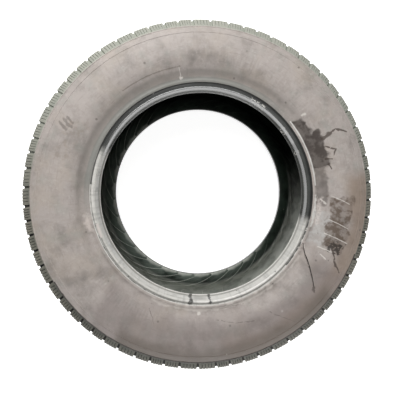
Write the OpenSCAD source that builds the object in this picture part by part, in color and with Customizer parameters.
// Worn radial car tyre without its wheel, lying flat on one sidewall.
// The tyre's axis is Z and the floor is at z = 0. The section is drawn in
// a plane of radius r and height h, where h = 0 is the tyre's middle plane.

/* [Rim fit] */
// Diameter of the cylindrical seat that each bead grips the rim with
bead_seat_d = 405.6; // [380:0.1:440]
// Axial length of that cylindrical seat
bead_seat_len = 11; // [6:0.5:14]
// Distance between the outer faces of the two beads, off the rim
bead_spacing = 171; // [150:1:190]
// Axial width of one bead, from its outer face to its toe
bead_w = 23; // [18:0.5:26]
// How far the toe reaches inside the seat, on the radius
toe_drop = 3.4; // [1:0.1:5]
// Radius of the heel, where the seat turns into the outer face
heel_round = 6; // [3:0.5:7]
// Radius of the toe's tip
toe_round = 1.2; // [0.5:0.1:1.8]

/* [Sidewall] */
// Width of the tyre at its widest, across both sidewalls
section_w = 215; // [195:1:250]
// Diameter at which the sidewalls are widest
widest_d = 544; // [525:1:560]
// Width of the flat ring at the widest place, that the tyre rests on
rest_ring_w = 8; // [4:0.5:12]
// Wall thickness at the widest place
sidewall_t = 8; // [6:0.5:12]
// Wall thickness at the shoulder blocks' feet
haunch_t = 11.5; // [9:0.5:14]
// Radial distance from the bead's seat to the crest of the rim line
rim_line_out = 13.7; // [12.5:0.1:16]
// Height of the rim line over the bead's outer face
rim_line_h = 0.8; // [0.4:0.1:1.5]
// Depth of the valley between bead and rim line
rim_valley_depth = 1.2; // [0.5:0.1:2]
// Height of the fine rings that frame the sidewall
fine_ring_h = 0.7; // [0.3:0.1:1]
// Width of the fine rings
fine_ring_w = 2; // [1:0.1:3]
// Radial distance between the two fine rings that frame the buttress
buttress_w = 13; // [10:0.5:16]
// Radial distance from the outer fine ring to the shoulder blocks' feet
foot_ring_gap = 2.278; // [1.5:0.001:6]

/* [Tread] */
// Outside diameter of the worn tread at the middle
outside_d = 676; // [660:1:720]
// Width of the tread before its shoulders are rounded
tread_w = 176; // [150:1:190]
// How much smaller the radius is at the tread's edge than in the middle
tread_drop = 3.5; // [1:0.5:6]
// Radius of the worn shoulder
shoulder_round = 8; // [4:0.5:10]
// Angle of the shoulder blocks' end faces, from the tread's plane
block_end_angle = 58; // [50:1:65]
// Length of the shoulder blocks' end faces
block_end_len = 20; // [14:0.5:24]
// Rubber, belts and liner under the grooves, in the middle
under_tread_t = 10; // [8:0.5:14]
// Depth of tread that is left
tread_depth = 5; // [2:0.5:9]
// Width of the two inner ring grooves
inner_groove_w = 9; // [5:0.5:12]
// Width of the two outer ring grooves
outer_groove_w = 8; // [5:0.5:12]
// Distance of the inner ring grooves from the middle
inner_groove_h = 20; // [16:0.5:24]
// Distance of the outer ring grooves from the middle
outer_groove_h = 55; // [50:0.5:60]
// Draft of the ring grooves' walls, on each side
groove_draft = 1; // [0:0.25:2]

/* [Blocks] */
// Number of times that the pitch run below goes round the tyre
pitch_repeats = 4; // [3:1:5]
// Width of the slots between shoulder blocks
shoulder_slot_w = 5; // [3:0.25:7]
// Depth of those slots on the shoulder blocks' end faces
shoulder_slot_depth = 3.5; // [2:0.25:4]
// Slant of the shoulder slots, from the tyre's axis
shoulder_slant = 8; // [0:1:15]
// Width of the slots across the ribs between the ring grooves
rib_slot_w = 3; // [2:0.25:5]
// Slant of the rib slots, from the tyre's axis
rib_slant = 24; // [0:1:30]

/* [Damage] */
// Length of the straight cut across the upper sidewall
cut_len = 88; // [40:1:90]
// Width of that cut
cut_w = 1.4; // [0.6:0.1:2]
// Depth of that cut
cut_depth = 1.8; // [0.8:0.1:3]
// Width of the nicks that a tyre lever left in the upper bead
nick_w = 1.8; // [1:0.1:3]
// Depth of those nicks at the heel
nick_depth = 1.6; // [0.5:0.1:2.5]

/* [Hidden] */
$fn = 96;

// Lengths of the block pitches, as shares of a medium pitch, and the run
// in which they follow each other, short, medium and long.
short_pitch = 0.9;
medium_pitch = 1;
long_pitch = 1.17;
pitch_run = "LSSMMLLMSSSMLMSML";
// Where the run starts on the upper side, and on the lower side.
upper_run_start = -92.2;
lower_run_start = -89.5;

// Points of one arc in the section, from one angle to another.
function arc(centre, radius, from, to, steps) =
    [for (i = [0:steps])
        let (a = from + (to - from) * i / steps)
        centre + radius * [cos(a), sin(a)]];

// Angle of a smooth double bend that shifts a line sideways by dh over dr.
function bend_angle(dr, dh) = 2 * atan(dh / dr);
// Sum of the two radii of that bend.
function bend_radii(dr, dh) = dr / sin(bend_angle(dr, dh));

// Outer surface
seat_r = bead_seat_d / 2;
face_h = bead_spacing / 2;
toe_h = face_h - bead_w;
seat_end_h = face_h - heel_round;
rim_line_r = seat_r + rim_line_out;
rim_line_top = 2;
valley_r = seat_r + heel_round + 1.6;
wide_r = widest_d / 2;
wide_h = section_w / 2;
rest_half = rest_ring_w / 2;

// The lower sidewall swings from the bead's face to the widest place.
lower_start_r = rim_line_r + rim_line_top + 1.2;
lower_dr = wide_r - rest_half - lower_start_r;
lower_dh = wide_h - face_h;
lower_angle = bend_angle(lower_dr, lower_dh);
hollow_round = 0.25 * bend_radii(lower_dr, lower_dh);
belly_round = bend_radii(lower_dr, lower_dh) - hollow_round;

// The shoulder turns from the tread to the blocks' end faces.
crown_r = outside_d / 2;
edge_r = crown_r - tread_drop;
edge_h = tread_w / 2;
shoulder_centre = [edge_r - shoulder_round, edge_h - shoulder_round];
end_top = shoulder_centre
    + shoulder_round * [cos(block_end_angle), sin(block_end_angle)];
end_way = [-sin(block_end_angle), cos(block_end_angle)];
block_foot = end_top + block_end_len * end_way;

// The upper sidewall is one arc from the blocks' feet to the widest place.
upper_start_r = wide_r + rest_half;
upper_dr = block_foot[0] - upper_start_r;
upper_dh = wide_h - block_foot[1];
upper_round = (upper_dr * upper_dr + upper_dh * upper_dh) / (2 * upper_dh);
upper_centre = [upper_start_r, wide_h - upper_round];

// The fine rings that frame the buttress follow the blocks' feet.
foot_ring_r = block_foot[0] - foot_ring_gap;
buttress_ring_r = foot_ring_r - buttress_w;

// A fine ring that stands out of the upper sidewall at a radius.
ring_half = fine_ring_w / upper_round * 90 / PI;
function ring_angle(r) = acos((r - upper_start_r) / upper_round);
function upper_point(a, lift) = upper_centre + (upper_round + lift) * [cos(a), sin(a)];
function fine_ring(r) =
    let (a = ring_angle(r))
    [upper_point(a + ring_half, 0), upper_point(a + ring_half / 2, fine_ring_h),
     upper_point(a - ring_half / 2, fine_ring_h), upper_point(a - ring_half, 0)];

bead_outline = concat(
    arc([seat_r - toe_drop + toe_round, toe_h + toe_round], toe_round, 270, 165, 4),
    [[seat_r, seat_end_h - bead_seat_len]],
    arc([seat_r + heel_round, seat_end_h], heel_round, 180, 90, 6),
    [[valley_r, face_h - rim_valley_depth],
     [valley_r + 1.4, face_h - rim_valley_depth],
     [rim_line_r - rim_line_top, face_h + 0.6 * rim_line_h],
     [rim_line_r - 1, face_h + rim_line_h],
     [rim_line_r + 1, face_h + rim_line_h],
     [rim_line_r + rim_line_top, face_h + 0.4 * rim_line_h]]);

lower_outline = concat(
    arc([lower_start_r, face_h + hollow_round], hollow_round,
        270, 270 + lower_angle, 4),
    arc([wide_r - rest_half, wide_h - belly_round], belly_round,
        90 + lower_angle - 5, 90, 8));

upper_outline = concat(
    arc(upper_centre, upper_round, 90, ring_angle(buttress_ring_r) + 3 * ring_half, 4),
    fine_ring(buttress_ring_r),
    arc(upper_centre, upper_round, ring_angle(buttress_ring_r) - 4 * ring_half,
        ring_angle(foot_ring_r) + 4 * ring_half, 1),
    fine_ring(foot_ring_r));

// Height of the sidewall's surface at a radius, from rim line to buttress.
function sidewall_h(r) =
    r < lower_start_r ? face_h
    : r < lower_start_r + hollow_round * sin(lower_angle)
        ? face_h + hollow_round - sqrt(pow(hollow_round, 2) - pow(r - lower_start_r, 2))
    : r < wide_r - rest_half
        ? wide_h - belly_round
            + sqrt(pow(belly_round, 2) - pow(wide_r - rest_half - r, 2))
    : r < upper_start_r ? wide_h
    : upper_centre[1] + sqrt(pow(upper_round, 2) - pow(r - upper_start_r, 2));

shoulder_outline = concat(
    [block_foot],
    arc(shoulder_centre, shoulder_round, block_end_angle, 3, 4));

// Radius of the tread at a height over the middle plane.
crown_round = (edge_h * edge_h + tread_drop * tread_drop) / (2 * tread_drop);
function tread_r(h) = crown_r - crown_round + sqrt(crown_round * crown_round - h * h);

// A ring groove, from its outer wall to its inner wall.
function ring_groove(h, w) =
    [[tread_r(h + w / 2), h + w / 2],
     [tread_r(h) - tread_depth, h + w / 2 - groove_draft],
     [tread_r(h) - tread_depth, h - w / 2 + groove_draft],
     [tread_r(h - w / 2), h - w / 2]];

half_outline = concat(
    bead_outline, lower_outline, upper_outline, shoulder_outline,
    ring_groove(outer_groove_h, outer_groove_w),
    ring_groove(inner_groove_h, inner_groove_w));

// Inner surface: crown, corner, haunch, belly and bead
liner_r = crown_r - tread_depth - under_tread_t;
liner_wide_h = wide_h - sidewall_t;

// The haunch lies under the upper sidewall and thickens to the blocks' feet.
foot_angle = ring_angle(block_foot[0]);
function haunch_point(a) =
    let (share = (90 - a) / (90 - foot_angle))
    upper_point(a, -sidewall_t - share * (haunch_t - sidewall_t));

// The corner bends from the crown to the haunch, along the blocks' end faces.
haunch_end = haunch_point(foot_angle);
corner_side = (liner_r - haunch_end[0]) / sin(block_end_angle);
corner_tip = [liner_r, haunch_end[1] - corner_side * cos(block_end_angle)];
function bend(from, by, to, steps) =
    [for (i = [0:steps])
        let (t = i / steps)
        pow(1 - t, 2) * from + 2 * t * (1 - t) * by + pow(t, 2) * to];

liner_start_r = seat_r + 3;
liner_dr = wide_r - liner_start_r;
liner_dh = liner_wide_h - toe_h;
liner_angle = bend_angle(liner_dr, liner_dh);
liner_hollow = 0.46 * bend_radii(liner_dr, liner_dh);
liner_belly = bend_radii(liner_dr, liner_dh) - liner_hollow;

half_liner = concat(
    bend(corner_tip - [0, corner_side], corner_tip, haunch_end, 5),
    [for (i = [1:4]) haunch_point(foot_angle + (90 - foot_angle) * i / 4)],
    arc([wide_r, liner_wide_h - liner_belly], liner_belly,
        90 + 8, 90 + liner_angle, 6),
    arc([liner_start_r, toe_h + liner_hollow], liner_hollow,
        270 + liner_angle - 8, 270, 6));

function flipped(points) =
    [for (i = [len(points) - 1:-1:0]) [points[i][0], -points[i][1]]];

// The whole section, moulded in one piece with its beads and tread ribs.
module section() {
    polygon(concat(half_outline, flipped(half_outline),
        flipped(half_liner), half_liner));
}

// Pitch lengths in turn, and the angle at which each one starts.
function pitch_share(letter) =
    letter == "S" ? short_pitch : letter == "L" ? long_pitch : medium_pitch;
run_len = len(pitch_run);
function run_total(i) = i == 0 ? 0 : run_total(i - 1) + pitch_share(pitch_run[i - 1]);
run_angle = 360 / pitch_repeats;
function pitch_start(i) =
    run_angle * (floor(i / run_len) + run_total(i % run_len) / run_total(run_len));
pitches = pitch_repeats * run_len;

// A slot that comes over the shoulder, as a blade in the section's plane.
// It starts in the outer ring groove and runs out at the blocks' feet.
blade_out = 20;
module shoulder_blade() {
    start_h = outer_groove_h + outer_groove_w / 2 - groove_draft - 1;
    inward = [cos(block_end_angle), sin(block_end_angle)];
    turn = max(shoulder_round - tread_depth, 0.5);
    polygon(concat(
        [[crown_r + blade_out, start_h], [tread_r(start_h) - tread_depth, start_h]],
        arc(shoulder_centre, turn, 5, block_end_angle, 2),
        [block_foot - shoulder_slot_depth * inward - 3 * end_way,
         block_foot + 1.5 * end_way,
         block_foot + blade_out * inward]));
}

// One thin upright blade in the plane of the tyre's axis, set slanting.
module blade_cut(width, slant, pivot_h) {
    translate([0, 0, pivot_h])
        rotate([slant, 0, 0])
            translate([0, 0, -pivot_h])
                rotate([90, 0, 0])
                    linear_extrude(height = width, center = true)
                        children();
}

// The slots of one shoulder, all round.
module shoulder_cuts(run_start) {
    for (i = [0:pitches - 1])
        rotate([0, 0, run_start + pitch_start(i)])
            blade_cut(shoulder_slot_w, shoulder_slant, edge_h)
                shoulder_blade();
}

// The slots across one rib between two ring grooves, all round.
module rib_cuts(run_start) {
    low_h = inner_groove_h + inner_groove_w / 2 - groove_draft - 1;
    high_h = outer_groove_h - outer_groove_w / 2 + groove_draft + 1;
    mid_h = (low_h + high_h) / 2;
    for (i = [0:pitches - 1])
        rotate([0, 0, run_start + pitch_start(i)])
            blade_cut(rib_slot_w, -rib_slant, mid_h)
                polygon([[tread_r(high_h) - tread_depth + 0.5, low_h],
                    [tread_r(high_h) - tread_depth + 0.5, high_h],
                    [crown_r + blade_out, high_h],
                    [crown_r + blade_out, low_h]]);
}

// A straight cut in the upper sidewall, made by something sharp. The blade
// stands upright over the cut's line, and its edge follows the sidewall.
cut_middle_r = 243;
cut_turn = -35;
cut_lean = -47;
cut_steps = 12;
function cut_radius(s) =
    norm([cut_middle_r + s * cos(cut_lean), s * sin(cut_lean)]);
function cut_floor(s) =
    sidewall_h(cut_radius(s)) + 0.5
        - (cut_depth + 0.5) * (1 - pow(abs(2 * s / cut_len), 4));
module sidewall_cut() {
    rotate([0, 0, cut_turn])
        translate([cut_middle_r, 0, 0])
            rotate([0, 0, cut_lean])
                rotate([90, 0, 0])
                    linear_extrude(height = cut_w, center = true)
                        polygon(concat(
                            [for (i = [0:cut_steps])
                                let (s = cut_len * (i / cut_steps - 0.5))
                                [s, cut_floor(s)]],
                            [[cut_len / 2, wide_h + blade_out],
                             [-cut_len / 2, wide_h + blade_out]]));
}

// Nicks across the heel of the upper bead, where a lever slipped.
nick_turns = [-96.6, -86.7];
module bead_nicks() {
    for (turn = nick_turns)
        rotate([0, 0, turn])
            rotate([90, 0, 0])
                linear_extrude(height = nick_w, center = true)
                    polygon(concat(
                        arc([seat_r + heel_round, seat_end_h],
                            heel_round - nick_depth, 180, 90, 4),
                        [[seat_r + heel_round, face_h + blade_out],
                         [seat_r - blade_out, face_h + blade_out],
                         [seat_r - blade_out, seat_end_h]]));
}

// The tyre: rubber, cords and bead wires vulcanised into one body.
module tyre() {
    color([0.24, 0.23, 0.22])
        translate([0, 0, wide_h])
            difference() {
                rotate_extrude($fn = 240) section();
                shoulder_cuts(upper_run_start);
                mirror([0, 0, 1]) shoulder_cuts(lower_run_start);
                rib_cuts(upper_run_start);
                mirror([0, 0, 1]) rib_cuts(lower_run_start);
                sidewall_cut();
                bead_nicks();
            }
}

tyre();
